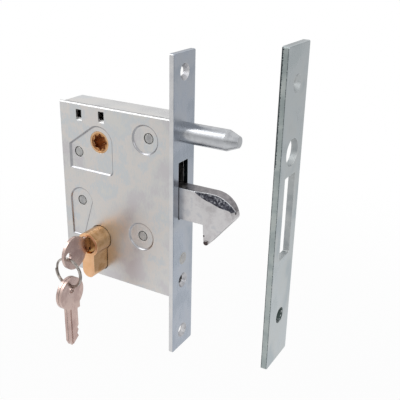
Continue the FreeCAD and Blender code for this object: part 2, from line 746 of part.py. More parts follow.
def make_plug(label, outer, inner, turn):
    """Plug with a stepped head and its keyway. Outer and inner are its ends along Y."""
    body = turned(label, ("-cyl_deep", "0", "cyl_high"), [
        (outer, "0"),
        (outer, "head_radius-0.8"),
        ("%s+(%s)*0.8" % (outer, turn), "head_radius"),
        ("%s+(%s)*(head_deep-0.1)" % (outer, turn), "head_radius"),
        ("%s+(%s)*(head_deep-0.1)" % (outer, turn), "plug_radius"),
        (inner, "plug_radius"),
        (inner, "0"),
    ], "Y")
    sketch = new_sketch(body, "XZ_Plane", "cyl_half+1")
    add_outline(sketch, box_corners("-key_thick/2-0.15", "key_thick/2+0.15",
                                    "-key_blade/2-0.3", "key_blade/2+0.3"))
    pocket(body, sketch, "2*cyl_half+2")


def make_cam():
    """Sintered cam: a ring on the plugs and a nose that stands at six o'clock."""
    body = new_body("cylinder_cam", ("-cyl_deep", "0", "cyl_high"))
    sketch = new_sketch(body, "XZ_Plane", "cam_half")
    add_circle(sketch, "0", "0", "cam_ring")
    pad(body, sketch, "2*cam_half", reverse=True)
    sketch = new_sketch(body, "XZ_Plane", "cam_half")
    tip = "-sqrt(cam_reach^2-cam_side^2)"
    add_outline(sketch, [
        ("-cam_side", "-3"),
        ("-cam_side", tip, "cam_reach"),
        ("cam_side", tip),
        ("cam_side", "-3"),
    ])
    pad(body, sketch, "2*cam_half", reverse=True)
    sketch = new_sketch(body, "XZ_Plane", "cam_half")
    add_circle(sketch, "0", "0", "plug_radius+run_gap")
    pocket(body, sketch, "2*cam_half")


make_cylinder()
make_plug("front_plug", "-cyl_half+0.1", "plug_end", "1")
make_plug("rear_plug", "cyl_half-0.1", "plug_end+0.4", "-1")
make_cam()


# Keys and ring

def mill_groove(body, face, middle, flip):
    """Profile groove along one side of the key's blade, with a round run-out at the bow."""
    sketch = new_sketch(body, "YZ_Plane", face)
    low = "(%s-groove_half)" % middle
    high = "(%s+groove_half)" % middle
    corners = [
        ("bow_gap-1.5", low),
        ("key_tip+1", low),
        ("key_tip+1", high),
        ("bow_gap-1.5", high, "groove_half+0.01"),
    ]
    if flip == "hang":
        corners = [(v, "-(%s)" % u) + tuple(r) for u, v, *r in corners]
    add_outline(sketch, corners)
    pocket(body, sketch, "groove_deep")


def make_key(label, place, flip):
    """Flat key. Flip chooses how it lies: along Y in the plug, or hanging along -Z."""
    body = new_body(label, place)
    sketch = new_sketch(body, "YZ_Plane", "-key_thick/2")
    half = "key_blade/2"
    stop = "(%s+2.6)" % half
    neck = "sqrt(bow_radius^2-%s^2)" % stop
    blade = [
        (neck, stop),
        ("bow_gap", stop),
        ("bow_gap", half),
        ("key_tip-13", half),
        ("key_tip-11.5", half + "-1.3"),
        ("key_tip-9.5", half + "-0.2"),
        ("key_tip-7", half + "-1.6"),
        ("key_tip-4.5", half + "-0.4"),
        ("key_tip", "-%s+1.6" % half),
        ("key_tip-3.5", "-" + half),
        ("sqrt(bow_radius^2-(%s)^2)" % half, "-" + half, "bow_radius"),
        ("0", "-bow_radius", "bow_radius"),
        ("-bow_radius", "0", "bow_radius"),
        ("0", "bow_radius", "bow_radius"),
    ]
    if flip == "hang":
        blade = [(v, "-(%s)" % u) + (("-" + r[0],) if r else ()) for u, v, *r in blade]
        hole = ("0", "spare_out")
    else:
        blade = [(u, v) + (("-" + r[0],) if r else ()) for u, v, *r in blade]
        hole = ("-hole_out", "0")
    add_outline(sketch, blade)
    pad(body, sketch, "key_thick")
    sketch = new_sketch(body, "YZ_Plane", "key_thick/2")
    add_circle(sketch, hole[0], hole[1], "key_hole")
    pocket(body, sketch, "key_thick")
    mill_groove(body, "key_thick/2", "-2.6", flip)
    mill_groove(body, "-key_thick/2+groove_deep", "0.6", flip)


bow_y = "-cyl_half-key_seat-bow_gap"
hole_y = bow_y + "-hole_out"
ring_z = "cyl_high-key_hole+ring_wire+0.2-ring_radius"
spare_z = ring_z + "-ring_radius+ring_wire+0.2-key_hole-spare_out"
make_key("key_in_lock", ("-cyl_deep", bow_y, "cyl_high"), "lie")
make_key("spare_key_front", ("-cyl_deep+key_thick/2+0.15", hole_y, spare_z), "hang")
make_key("spare_key_rear", ("-cyl_deep-key_thick/2-0.15", hole_y, spare_z), "hang")

ring = doc.addObject("Part::Torus", "key_ring")
ring.Label = "key_ring"
bind(ring, "Radius1", "ring_radius")
bind(ring, "Radius2", "ring_wire")
ring.Placement.Rotation = FreeCAD.Rotation(FreeCAD.Vector(1, 0, 0), 90)
set_place(ring, ("-cyl_deep", hole_y, ring_z))
sub_parts.append(ring)


# Springs

def coil_wire(radius, pitch, turn_deg, first_leg, last_leg):
    """A coil about Z as half turns that climb, with a straight leg at each end."""
    ahead = FreeCAD.Vector(0, 1, 0)
    here = FreeCAD.Vector(radius, 0, 0)
    edges = [Part.LineSegment(here - ahead * first_leg, here).toShape()]
    side = 1
    climb = 0.0
    way = ahead
    while turn_deg > 0.01:
        climb += pitch / 2
        far = FreeCAD.Vector(-side * radius, 0, climb)
        centre = (here + far) * 0.5
        out = here - centre
        across = ahead * side * out.Length
        turn = math.radians(min(turn_deg, 180.0))
        middle = centre + out * math.cos(turn / 2) + across * math.sin(turn / 2)
        end = centre + out * math.cos(turn) + across * math.sin(turn)
        edges.append(Part.Arc(here, middle, end).toShape())
        way = (across * math.cos(turn) - out * math.sin(turn)).normalize()
        here = end
        side = -side
        turn_deg -= 180.0
    edges.append(Part.LineSegment(here, here + way * last_leg).toShape())
    return Part.Wire(edges)


def make_spring(label, deep, high, coil, first_leg, last_leg):
    """Torsion spring behind its lever. A leg is (direction of the coil's end, length)."""
    turn_deg = 720.0 + last_leg[0] - first_leg[0]
    radius = mm(coil)
    wire = coil_wire(radius, mm("coil_pitch"), turn_deg, first_leg[1], last_leg[1])
    profile = Part.Circle(FreeCAD.Vector(radius, -first_leg[1], 0),
                          FreeCAD.Vector(0, 1, 0), mm("wire_radius"))
    feature = doc.addObject("Part::Feature", label)
    feature.Label = label
    feature.Shape = wire.makePipeShell([Part.Wire([profile.toShape()])], True, False)
    rear = mm("case_half-case_wall-wire_radius-0.1")
    place = FreeCAD.Placement(
        FreeCAD.Vector(mm(deep + "+plate_thick"), rear, mm(high + "-plate_height/2")),
        FreeCAD.Rotation(FreeCAD.Vector(1, 0, 0), 90))
    spin = FreeCAD.Rotation(FreeCAD.Vector(0, 0, 1), first_leg[0])
    feature.Placement = place.multiply(FreeCAD.Placement(FreeCAD.Vector(0, 0, 0), spin))
    sub_parts.append(feature)


make_spring("hook_spring", "-pivot_deep", "pivot_high", "6.6", (-170.0, 13.0), (-62.0, 16.0))
make_spring("follower_spring", "-rear_deep", "rear_high", "4.8", (40.0, 9.0), (120.0, 9.0))
make_spring("lever_spring", "-lever_deep", "lever_high", "5.6", (200.0, 9.0), (250.0, 12.0))


# Check and export

doc.recompute()
for thing in doc.Objects:
    if "Invalid" in thing.State or "Error" in thing.State:
        raise ValueError("%s is in state %s" % (thing.Name, thing.State))
for thing in sub_parts:
    shape = thing.Shape
    if shape.isNull() or not shape.isValid() or shape.Volume < 1.0:
        raise ValueError("%s has no sound solid" % thing.Label)
    print("%-20s solids %d volume %.0f" % (thing.Label, len(shape.Solids), shape.Volume))
for thing in sub_parts:
    thing.Shape.exportStep("parts/%s.step" % thing.Label)
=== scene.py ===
import math
import bmesh
import bpy
from mathutils import Matrix, Vector


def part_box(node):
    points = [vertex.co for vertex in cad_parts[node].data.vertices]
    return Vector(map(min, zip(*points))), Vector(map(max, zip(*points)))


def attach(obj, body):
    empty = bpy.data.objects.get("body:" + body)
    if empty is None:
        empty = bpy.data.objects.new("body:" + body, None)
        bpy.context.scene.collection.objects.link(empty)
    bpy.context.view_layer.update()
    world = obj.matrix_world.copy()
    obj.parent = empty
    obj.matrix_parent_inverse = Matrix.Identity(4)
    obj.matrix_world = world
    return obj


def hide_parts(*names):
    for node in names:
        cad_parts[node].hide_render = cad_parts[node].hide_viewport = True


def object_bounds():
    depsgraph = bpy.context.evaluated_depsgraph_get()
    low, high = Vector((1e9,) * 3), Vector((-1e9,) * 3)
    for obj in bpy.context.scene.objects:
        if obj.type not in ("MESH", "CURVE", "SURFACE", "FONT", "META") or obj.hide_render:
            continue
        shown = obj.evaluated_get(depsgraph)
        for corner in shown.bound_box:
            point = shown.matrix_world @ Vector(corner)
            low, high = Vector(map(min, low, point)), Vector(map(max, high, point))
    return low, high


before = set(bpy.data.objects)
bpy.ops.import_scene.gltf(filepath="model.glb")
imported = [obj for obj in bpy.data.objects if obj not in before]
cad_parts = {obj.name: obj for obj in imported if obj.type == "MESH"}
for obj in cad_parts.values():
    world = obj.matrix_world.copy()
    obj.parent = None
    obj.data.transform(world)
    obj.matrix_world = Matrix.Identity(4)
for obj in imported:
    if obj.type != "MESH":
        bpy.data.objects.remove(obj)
cad_box = [list(corner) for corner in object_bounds()]

# Camera, light and floor
# A lens of about 59 mm looks down on the lock from the cover side and the front.
# A large soft lamp stands above the cover, a weaker one in front of the plates, and a faint one
# low behind the case on the cover side.

lens_mm, sensor_mm = 58.68, 36.0
nearest_seen = 0.01
turn_deg, tilt_deg, roll_deg = 29.602, 22.569, 1.234
camera_place = Vector((0.20213, -0.3293, 0.16793))
turn, tilt, roll = (math.radians(angle) for angle in (turn_deg, tilt_deg, roll_deg))
to_camera = Vector((math.sin(turn) * math.cos(tilt), -math.cos(turn) * math.cos(tilt),
                    math.sin(tilt)))
level_right = (-to_camera).cross(Vector((0, 0, 1))).normalized()
level_up = level_right.cross(-to_camera)
picture_right = level_right * math.cos(roll) + level_up * math.sin(roll)
picture_up = level_up * math.cos(roll) - level_right * math.sin(roll)
camera_data = bpy.data.cameras.new("camera")
camera_data.lens = lens_mm
camera_data.sensor_width = sensor_mm
camera_data.clip_start = nearest_seen
camera = bpy.data.objects.new("camera", camera_data)
camera.matrix_world = Matrix((picture_right, picture_up, to_camera)).transposed().to_4x4()
camera.location = camera_place
bpy.context.scene.collection.objects.link(camera)
bpy.context.scene.camera = camera
bpy.context.scene.view_settings.view_transform = "Standard"


def hex_colour(text):
    """An sRGB hex colour as linear red, green, blue and alpha."""
    parts = [int(text[i:i + 2], 16) / 255 for i in (1, 3, 5)]
    return [p / 12.92 if p <= 0.04045 else ((p + 0.055) / 1.055) ** 2.4 for p in parts] + [1.0]


def add_node(tree, kind, settings, inputs):
    """One node with its settings. An input given as a socket is linked, any other is set."""
    node = tree.nodes.new(kind)
    for name, value in settings.items():
        setattr(node, name, value)
    for name, value in inputs.items():
        if isinstance(value, bpy.types.NodeSocket):
            tree.links.new(value, node.inputs[name])
        else:
            node.inputs[name].default_value = value
    return node


def background_ray(tree):
    """1 for rays that should meet the white background: camera, glossy and transmission."""
    path = add_node(tree, "ShaderNodeLightPath", {}, {})
    glossy = add_node(tree, "ShaderNodeMath", {"operation": "MAXIMUM"},
                      {0: path.outputs["Is Camera Ray"], 1: path.outputs["Is Glossy Ray"]})
    return add_node(tree, "ShaderNodeMath", {"operation": "MAXIMUM"},
                    {0: glossy.outputs[0], 1: path.outputs["Is Transmission Ray"]}).outputs[0]


def shown_level(tree, tone):
    """Full strength to the camera, and a tone of its own to the metal's reflections."""
    seen = add_node(tree, "ShaderNodeLightPath", {}, {}).outputs["Is Camera Ray"]
    return add_node(tree, "ShaderNodeMath", {"operation": "MAXIMUM"}, {0: seen, 1: tone}).outputs[0]


# Metal sees the white studio darker towards its horizon, as a real studio's walls are
horizon_tone, horizon_low, horizon_high = 0.42, 0.02, 0.40
room_level = 0.5
world = bpy.data.worlds.new("studio")
bpy.context.scene.world = world
world.use_nodes = True
sky = world.node_tree
sky.nodes.clear()
gaze = add_node(sky, "ShaderNodeTexCoord", {}, {}).outputs["Generated"]
height = add_node(sky, "ShaderNodeSeparateXYZ", {}, {0: gaze}).outputs["Z"]
wall_tone = add_node(sky, "ShaderNodeMapRange", {"interpolation_type": "SMOOTHSTEP"},
                     {"Value": height, "From Min": horizon_low, "From Max": horizon_high,
                      "To Min": horizon_tone, "To Max": 1.0}).outputs[0]
room_light = add_node(sky, "ShaderNodeBackground", {},
                      {"Color": hex_colour("#E8EAEC"), "Strength": room_level})
white_wall = add_node(sky, "ShaderNodeBackground", {},
                      {"Color": hex_colour("#FFFFFF"), "Strength": shown_level(sky, wall_tone)})
sky_mix = add_node(sky, "ShaderNodeMixShader", {},
                   {0: background_ray(sky), 1: room_light.outputs[0], 2: white_wall.outputs[0]})
add_node(sky, "ShaderNodeOutputWorld", {}, {"Surface": sky_mix.outputs[0]})

# A lamp's direction from the lock, its distance and size in metres, and its power in watts
lamp_aim = Vector((-0.02, 0.0, 0.0))
for name, direction, distance, size, power in (
        ("key_lamp", (-0.56, -0.39, 0.73), 0.75, 0.45, 1.8),
        ("front_lamp", (0.80, -0.35, 0.45), 0.80, 0.50, 1.1),
        ("left_lamp", (-0.75, -0.62, 0.05), 0.85, 0.50, 0.25)):
    lamp_data = bpy.data.lights.new(name, "AREA")
    lamp_data.size = size
    lamp_data.energy = power
    lamp = bpy.data.objects.new(name, lamp_data)
    outward = Vector(direction).normalized()
    lamp.location = lamp_aim + outward * distance
    lamp.rotation_euler = outward.to_track_quat("Z", "Y").to_euler()
    bpy.context.scene.collection.objects.link(lamp)

# Under the lock the matt floor shows by 5 percent, with its shadow. Further out it turns
# white, so that no edge of it shows, while metal sees it darker there.
floor_drop, floor_half = 0.15, 8.0
ground = cad_box[0][2] - floor_drop
below_lock = (-0.01, 0.0, ground)
white_share, white_from, white_to = 0.95, 0.2, 0.8
dusk_tone, dusk_from, dusk_to = 0.76, 0.35, 1.0
floor_mesh = bpy.data.meshes.new("floor")
floor_mesh.from_pydata([(-floor_half, -floor_half, ground), (floor_half, -floor_half, ground),
                        (floor_half, floor_half, ground), (-floor_half, floor_half, ground)],
                       [], [(0, 1, 2, 3)])
floor = bpy.data.objects.new("floor", floor_mesh)
bpy.context.scene.collection.objects.link(floor)
floor_paint = bpy.data.materials.new("matt white studio floor")
floor_paint.use_nodes = True
tree = floor_paint.node_tree
tree.nodes.clear()
matt = add_node(tree, "ShaderNodeBsdfDiffuse", {}, {"Color": hex_colour("#F6F6F6")})
floor_point = add_node(tree, "ShaderNodeNewGeometry", {}, {}).outputs["Position"]
away = add_node(tree, "ShaderNodeVectorMath", {"operation": "DISTANCE"},
                {0: floor_point, 1: below_lock}).outputs["Value"]
fade = add_node(tree, "ShaderNodeMapRange", {"interpolation_type": "SMOOTHSTEP"},
                {"Value": away, "From Min": white_from, "From Max": white_to,
                 "To Min": white_share, "To Max": 1.0}).outputs[0]
dusk = add_node(tree, "ShaderNodeMapRange", {},
                {"Value": away, "From Min": dusk_from, "From Max": dusk_to,
                 "To Min": 1.0, "To Max": dusk_tone}).outputs[0]
glow = add_node(tree, "ShaderNodeEmission", {},
                {"Color": hex_colour("#FFFFFF"), "Strength": shown_level(tree, dusk)})
share = add_node(tree, "ShaderNodeMath", {"operation": "MULTIPLY"},
                 {0: background_ray(tree), 1: fade})
floor_mix = add_node(tree, "ShaderNodeMixShader", {},
                     {0: share.outputs[0], 1: matt.outputs[0], 2: glow.outputs[0]})
add_node(tree, "ShaderNodeOutputMaterial", {}, {"Surface": floor_mix.outputs[0]})
floor_mesh.materials.append(floor_paint)

# Case
# A folded steel tray and a pressed cover, both blanked from 2 mm sheet and riveted together.
# Bright zinc plating with a clear passivate leaves a pale grey with faint pink and blue clouds.


def metal_surface(name, shades, rough, patch_mm, grain_mm, depth_mm, edge_mm, worn,
                  stretch=(1, 1, 1)):
    """Metal whose clouds run through a few shades, with a fine grain and worn edges.

    patch_mm is the size of a cloud, and the roughness follows the clouds from rough[0] to
    rough[1]. grain_mm and depth_mm are the grain's width and relief, and a stretch under 1
    draws it out along that axis. Edges are worn over edge_mm.
    """
    grain_share = 0.25
    # Clouds and grain added together mostly lie in this span
    lowest, span = 0.48, 0.32
    # Wear grows as a rounded edge's normal turns from the face's, and clouds still show in it
    flat, bent, most_worn = 0.99, 0.80, 0.8
    paint = bpy.data.materials.new(name)
    paint.use_nodes = True
    tree = paint.node_tree
    tree.nodes.clear()
    place = add_node(tree, "ShaderNodeTexCoord", {}, {}).outputs["Object"]
    drawn = add_node(tree, "ShaderNodeMapping", {}, {"Vector": place, "Scale": stretch}).outputs[0]
    clouds = add_node(tree, "ShaderNodeTexNoise", {},
                      {"Vector": place, "Scale": 1000 / patch_mm, "Detail": 3.0,
                       "Roughness": 0.45}).outputs[0]
    grain = add_node(tree, "ShaderNodeTexNoise", {},
                     {"Vector": drawn, "Scale": 1000 / grain_mm, "Detail": 3.0}).outputs[0]
    spread = add_node(tree, "ShaderNodeMath", {"operation": "MULTIPLY_ADD"},
                      {0: grain, 1: grain_share, 2: clouds}).outputs[0]
    ramp = add_node(tree, "ShaderNodeValToRGB", {}, {0: spread})
    stops = ramp.color_ramp.elements
    while len(stops) < len(shades):
        stops.new(0.5)
    for number, shade in enumerate(shades):
        stops[number].position = lowest + span * number / (len(shades) - 1)
        stops[number].color = hex_colour(shade)
    edge = add_node(tree, "ShaderNodeBevel", {"samples": 4}, {"Radius": edge_mm / 1000}).outputs[0]
    face = add_node(tree, "ShaderNodeNewGeometry", {}, {}).outputs["Normal"]
    flatness = add_node(tree, "ShaderNodeVectorMath", {"operation": "DOT_PRODUCT"},
                        {0: edge, 1: face}).outputs["Value"]
    rub = add_node(tree, "ShaderNodeMapRange", {},
                   {"Value": flatness, "From Min": flat, "From Max": bent,
                    "To Max": most_worn}).outputs[0]
    colour = add_node(tree, "ShaderNodeMix", {"data_type": "RGBA"},
                      {0: rub, 6: ramp.outputs[0], 7: hex_colour(worn)}).outputs[2]
    gloss = add_node(tree, "ShaderNodeMapRange", {},
                     {"Value": spread, "From Min": lowest, "From Max": lowest + span,
                      "To Min": rough[0], "To Max": rough[1]}).outputs[0]
    relief = add_node(tree, "ShaderNodeBump", {},
                      {"Strength": 1.0, "Distance": depth_mm / 1000, "Height": grain,
                       "Normal": edge}).outputs[0]
    shader = add_node(tree, "ShaderNodeBsdfPrincipled", {},
                      {"Base Color": colour, "Metallic": 1.0, "Roughness": gloss,
                       "Normal": relief})
    add_node(tree, "ShaderNodeOutputMaterial", {}, {"Surface": shader.outputs[0]})
    return paint


def chips_and_shade(paint, marks, dark):
    """Dark chips and painted shade in a material. A mark is a point, line or box and how far the
    dark reaches from it.
    """
    # The dark marks' edges are ragged over about 0.7 mm
    ragged_per_metre = 1400.0
    middle_share, darkening_from, darkening_to = 0.75, 0.82, 0.92
    tree = paint.node_tree
    shader = [node for node in tree.nodes if node.type == "BSDF_PRINCIPLED"][0]
    colour = shader.inputs["Base Color"].links[0].from_socket
    place = add_node(tree, "ShaderNodeTexCoord", {}, {}).outputs["Object"]
    ragged = add_node(tree, "ShaderNodeTexNoise", {},
                      {"Vector": place, "Scale": ragged_per_metre, "Detail": 3.0}).outputs[0]
    for low, high, reach_mm in marks:
        raised = add_node(tree, "ShaderNodeVectorMath", {"operation": "MAXIMUM"},
                          {0: place, 1: low}).outputs[0]
        held = add_node(tree, "ShaderNodeVectorMath", {"operation": "MINIMUM"},
                        {0: raised, 1: high}).outputs[0]
        off = add_node(tree, "ShaderNodeVectorMath", {"operation": "DISTANCE"},
                       {0: place, 1: held}).outputs["Value"]
        close = add_node(tree, "ShaderNodeMapRange", {},
                         {"Value": off, "From Max": reach_mm / 1000, "To Min": middle_share,
                          "To Max": 0.0}).outputs[0]
        both = add_node(tree, "ShaderNodeMath", {"operation": "ADD"},
                        {0: close, 1: ragged}).outputs[0]
        darkening = add_node(tree, "ShaderNodeMapRange", {},
                        {"Value": both, "From Min": darkening_from, "From Max": darkening_to}).outputs[0]
        colour = add_node(tree, "ShaderNodeMix", {"data_type": "RGBA"},
                          {0: darkening, 6: colour, 7: hex_colour(dark)}).outputs[2]
    tree.links.new(colour, shader.inputs["Base Color"])


def dress(names, paint):
    """Give CAD nodes one material."""
    for name in names:
        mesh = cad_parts[name].data
        mesh.materials.clear()
        mesh.materials.append(paint)


# The frame's origin lies 3 mm behind the faceplate's front and 102 mm above its lower end
front_mm, foot_mm = 3, 102


def at(deep, side, high):
    """A point in metres, from mm in front of the faceplate, across, and above its lower end."""
    return Vector(((deep + front_mm) / 1000, side / 1000, (high - foot_mm) / 1000))


def add_piece(name, mesh, body, paints):
    """A piece of the lock that rides on a body, with its finishes as materials."""
    piece = bpy.data.objects.new(name, mesh)
    bpy.context.scene.collection.objects.link(piece)
    for paint in paints:
        mesh.materials.append(paint)
    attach(piece, body)
    return piece


def merged_copy(node):
    """A copy of a CAD node's mesh with its double points joined, without material or normals."""
    same_point = 1e-6
    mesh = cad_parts[node].data.copy()
    mesh.materials.clear()
    mesh.attributes.remove(mesh.attributes["custom_normal"])
    net = bmesh.new()
    net.from_mesh(mesh)
    bmesh.ops.remove_doubles(net, verts=net.verts, dist=same_point)
    net.to_mesh(mesh)
    net.free()
    return mesh


def cutter_between(first_points, last_points):
    """A closed solid between two like outlines."""
    net = bmesh.new()
    first = [net.verts.new(point) for point in first_points]
    last = [net.verts.new(point) for point in last_points]
    net.faces.new(first)
    net.faces.new(last[::-1])
    for i in range(len(first)):
        j = (i + 1) % len(first)
        net.faces.new((first[j], first[i], last[i], last[j]))
    bmesh.ops.recalc_face_normals(net, faces=net.faces)
    mesh = bpy.data.meshes.new("cutter")
    net.to_mesh(mesh)
    net.free()
    return mesh


def bar(profile, left, right):
    """A bar along X from a profile of (side, high), between two depths."""
    ends = [[at(deep, side, high) for side, high in profile] for deep in (left, right)]
    return cutter_between(*ends)


def prism(outline, near, far):
    """A prism along Y from an outline of (deep, high), between two sides."""
    ends = [[at(deep, side, high) for deep, high in outline] for side in (near, far)]
    return cutter_between(*ends)


def carve(piece, cutters):
    """Cut solids out of a piece and keep the result as its mesh."""
    for cutter_mesh in cutters:
        cutter = bpy.data.objects.new("cutter", cutter_mesh)
        bpy.context.scene.collection.objects.link(cutter)
        change = piece.modifiers.new("cut", "BOOLEAN")
        change.operation = "DIFFERENCE"
        change.solver = "EXACT"
        change.object = cutter
        view = bpy.context.evaluated_depsgraph_get()
        mesh = bpy.data.meshes.new_from_object(piece.evaluated_get(view))
        piece.modifiers.remove(change)
        piece.data = mesh
        bpy.data.objects.remove(cutter)


def soften(piece, width_mm=0, angle_deg=60, edge_paint=-1):
    """Smooth the curved sides, keep the flat ones true, and round edges over the angle.

    An edge_paint of -1 leaves a rounded edge the material of the faces beside it.
    """
    crease_deg = 35
    piece.data.shade_smooth()
    piece.data.set_sharp_from_angle(angle=math.radians(crease_deg))
    if width_mm:
        change = piece.modifiers.new("edges", "BEVEL")
        change.width = width_mm / 1000
        change.segments = 2
        change.limit_method = "ANGLE"
        change.angle_limit = math.radians(angle_deg)
        change.material = edge_paint
    flats = piece.modifiers.new("true flats", "WEIGHTED_NORMAL")
    flats.keep_sharp = True


# Clouds of about 22 mm and a soft rolled grain of 0.9 mm, coarser than the real 0.2 mm so it shows
case_zinc = metal_surface(
    "zinc plated sheet, clear passivate",
    shades=["#C9C6C8", "#CFCFCE", "#D7D2CE", "#CACED1", "#D4D3D0"], rough=(0.32, 0.44),
    patch_mm=22, grain_mm=0.9, depth_mm=0.008, edge_mm=0.35, worn="#E6E6E4", stretch=(1, 1, 0.35))
# The tray is paler, a painted highlight for the light falling on its top, with painted shade along
# the seam at the cover
tray_zinc = metal_surface(
    "zinc plated tray, clear passivate",
    shades=["#D6D5D6", "#DEDEDD", "#E3E0DD", "#D9DBDD"], rough=(0.26, 0.38),
    patch_mm=22, grain_mm=0.9, depth_mm=0.008, edge_mm=0.35, worn="#EEEEEC", stretch=(1, 1, 0.35))
tray_side, tray_top, seam_shade_mm = -8.5, 164, 2.6
seam_shade_rear, seam_shade_front = at(-90, tray_side, tray_top), at(-3, tray_side, tray_top)
chips_and_shade(tray_zinc, [(seam_shade_rear, seam_shade_front, seam_shade_mm)], "#626266")
dress(["case_tray"], tray_zinc)

# The press leaves sloping walls with soft lips, painted darker as the shade on them
shaded_press_wall = metal_surface(
    "zinc plated sheet, press walls in painted shade",
    shades=["#9C9CA0", "#A9A9AC", "#A2A2A6"], rough=(0.26, 0.36),
    patch_mm=9, grain_mm=0.9, depth_mm=0.008, edge_mm=0.2, worn="#B4B4B6")
# The rim and sills that look up are paler, a painted highlight, and scatter more
rim_and_sill_highlight = metal_surface(
    "zinc plated sheet, rim and sills in painted highlight",
    shades=["#BEBEBF", "#CACACA", "#D2D2D1"], rough=(0.34, 0.46),
    patch_mm=9, grain_mm=0.9, depth_mm=0.012, edge_mm=0.2, worn="#DCDCDC", stretch=(0.3, 1, 1))
cover = add_piece("pressed_cover", merged_copy("case_cover"), "lock_case",
                  [case_zinc, shaded_press_wall, rim_and_sill_highlight])
cover_low, cover_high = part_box("case_cover")
cover_top = cover_high[2] * 1000 + foot_mm
cover_front = cover_high[0] * 1000 - front_mm
cover_side, sheet_mm = -10.5, 2.0
cover_inside = cover_side + sheet_mm + 0.1
# The cutters reach past the outer face and the top by this, and past the case's two ends
spare_mm, past_rear, past_front = 0.3, -92, 0
cutters = []
# The two pierced holes have a sloping sill below them, which catches the light from above
sill_mm, hole_mm, into_hole, sill_out = 1.9, 4.5, 0.5, cover_side - 0.2
for left, low in ((-76.4, 154.8), (-58.2, 155.8)):
    cutters.append(bar([(sill_out, low - sill_mm), (cover_inside, low),
                        (cover_inside, low + into_hole), (sill_out, low + into_hole)],
                       left, left + hole_mm))
# The top edge is rolled over
round_mm = 1.5
rolled = [(cover_side + round_mm * (1 - math.cos(a)), cover_top - round_mm * (1 - math.sin(a)))
          for a in (math.radians(degrees) for degrees in range(0, 91, 10))]
cutters.append(bar(rolled + [(cover_side + round_mm, cover_top + spare_mm),
                             (cover_side - spare_mm, cover_top + spare_mm),
                             (cover_side - spare_mm, cover_top - round_mm)],
                   past_rear, past_front))
# A narrow seam is left along the tray and another along the faceplate
seam_mm, tray_seam_deep, plate_seam_deep = 0.8, 1.2, 1.4
cutters.append(bar([(cover_inside - seam_mm, cover_top + spare_mm),
                    (cover_inside, cover_top + spare_mm),
                    (cover_inside, cover_top - tray_seam_deep),
                    (cover_inside - seam_mm, cover_top - tray_seam_deep)],
                   past_rear, past_front))
seam_rear, seam_front, below_cover, above_cover = cover_front - seam_mm, cover_front + 1, 40, 170
cutters.append(prism([(seam_rear, below_cover), (seam_front, below_cover),
                      (seam_front, above_cover), (seam_rear, above_cover)],
                     cover_side - spare_mm, cover_side + plate_seam_deep))
carve(cover, cutters)
# The lips of the pressings are rounded: bent edges near the outer face, inside the border.
# The border, the side and the rounding are in metres.
border, lip_side, lip_round = 0.003, -0.0092, 0.0004
level_bend, least_bend, most_bend = (math.radians(angle) for angle in (0.5, 20, 75))
net = bmesh.new()
net.from_mesh(cover.data)
bmesh.ops.dissolve_limit(net, angle_limit=level_bend, verts=net.verts, edges=net.edges)
lips = []
for fold in net.edges:
    middle = (fold.verts[0].co + fold.verts[1].co) / 2
    inside = (cover_low[0] + border < middle.x < cover_high[0] - border
              and cover_low[2] + border < middle.z < cover_high[2] - border)
    if inside and middle.y < lip_side and len(fold.link_faces) == 2:
        if least_bend < fold.calc_face_angle() < most_bend:
            lips.append(fold)
bmesh.ops.bevel(net, geom=lips, offset=lip_round, segments=3, profile=0.5, affect="EDGES",
                clamp_overlap=True)
# Sloping walls get the painted shade, and what looks up in the top 15 mm gets the painted
# highlight: the rim and the sills
wall_side, rim_side, rim_reach = -0.0091, -0.0085, 0.0150
for face in net.faces:
    middle = face.calc_center_median()
    face.material_index = 0
    slopes = -0.97 < face.normal.y < -0.2
    if middle.y < wall_side and slopes and middle.z < cover_high[2] - border:
        face.material_index = 1
    looks_up = face.normal.z > 0.30 and middle.z > cover_high[2] - rim_reach
    if looks_up and middle.y < rim_side:
        face.material_index = 2
net.to_mesh(cover.data)
net.free()
soften(cover)
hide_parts("case_cover")

# Faceplate
# Rolled steel strip 3 mm thick with rounded front edges, countersunk holes and the hook slot.
# It is plated apart from the case and keeps a cooler, bluish grey.

# The rolled grain runs along the strip
faceplate_zinc = metal_surface(
    "zinc plated strip, blue passivate",
    shades=["#9DA5B0", "#A9B0BB", "#AFB4BC", "#A3ABB6"], rough=(0.24, 0.36),
    patch_mm=26, grain_mm=0.8, depth_mm=0.010, edge_mm=0.45, worn="#DADEE2", stretch=(1, 1, 0.12))
# The sides are sawn, lighter and a little warm
faceplate_side = metal_surface(
    "zinc plated strip, sawn side",
    shades=["#CBCBCE", "#D5D5D6", "#DEDCDB"], rough=(0.30, 0.44),
    patch_mm=12, grain_mm=0.7, depth_mm=0.020, edge_mm=0.3, worn="#E4E4E4", stretch=(1, 1, 0.5))
# The zinc is thin and dark on the rolled far edge
rolled_edge = metal_surface(
    "rolled edge, thin zinc",
    shades=["#5C6268", "#747A80", "#868C92"], rough=(0.30, 0.42),
    patch_mm=9, grain_mm=0.7, depth_mm=0.010, edge_mm=0.2, worn="#9A9EA2", stretch=(1, 1, 0.3))
# Punched and countersunk walls scatter the light that falls into them
punched = metal_surface(
    "punched steel, zinc plated",
    shades=["#A9A9AD", "#BFBFC2", "#D2D1D3"], rough=(0.34, 0.50),
    patch_mm=6, grain_mm=0.6, depth_mm=0.020, edge_mm=0.3, worn="#EEEEEE")
# The slot's walls are painted dark for the shade inside the slot and some oxide, with a lighter
# line where the hook has rubbed their edge
slot_wall = metal_surface(
    "punched slot wall, oxide and painted shade",
    shades=["#222C31", "#2C363B", "#384247"], rough=(0.45, 0.60),
    patch_mm=6, grain_mm=0.6, depth_mm=0.020, edge_mm=0.35, worn="#8E9499")


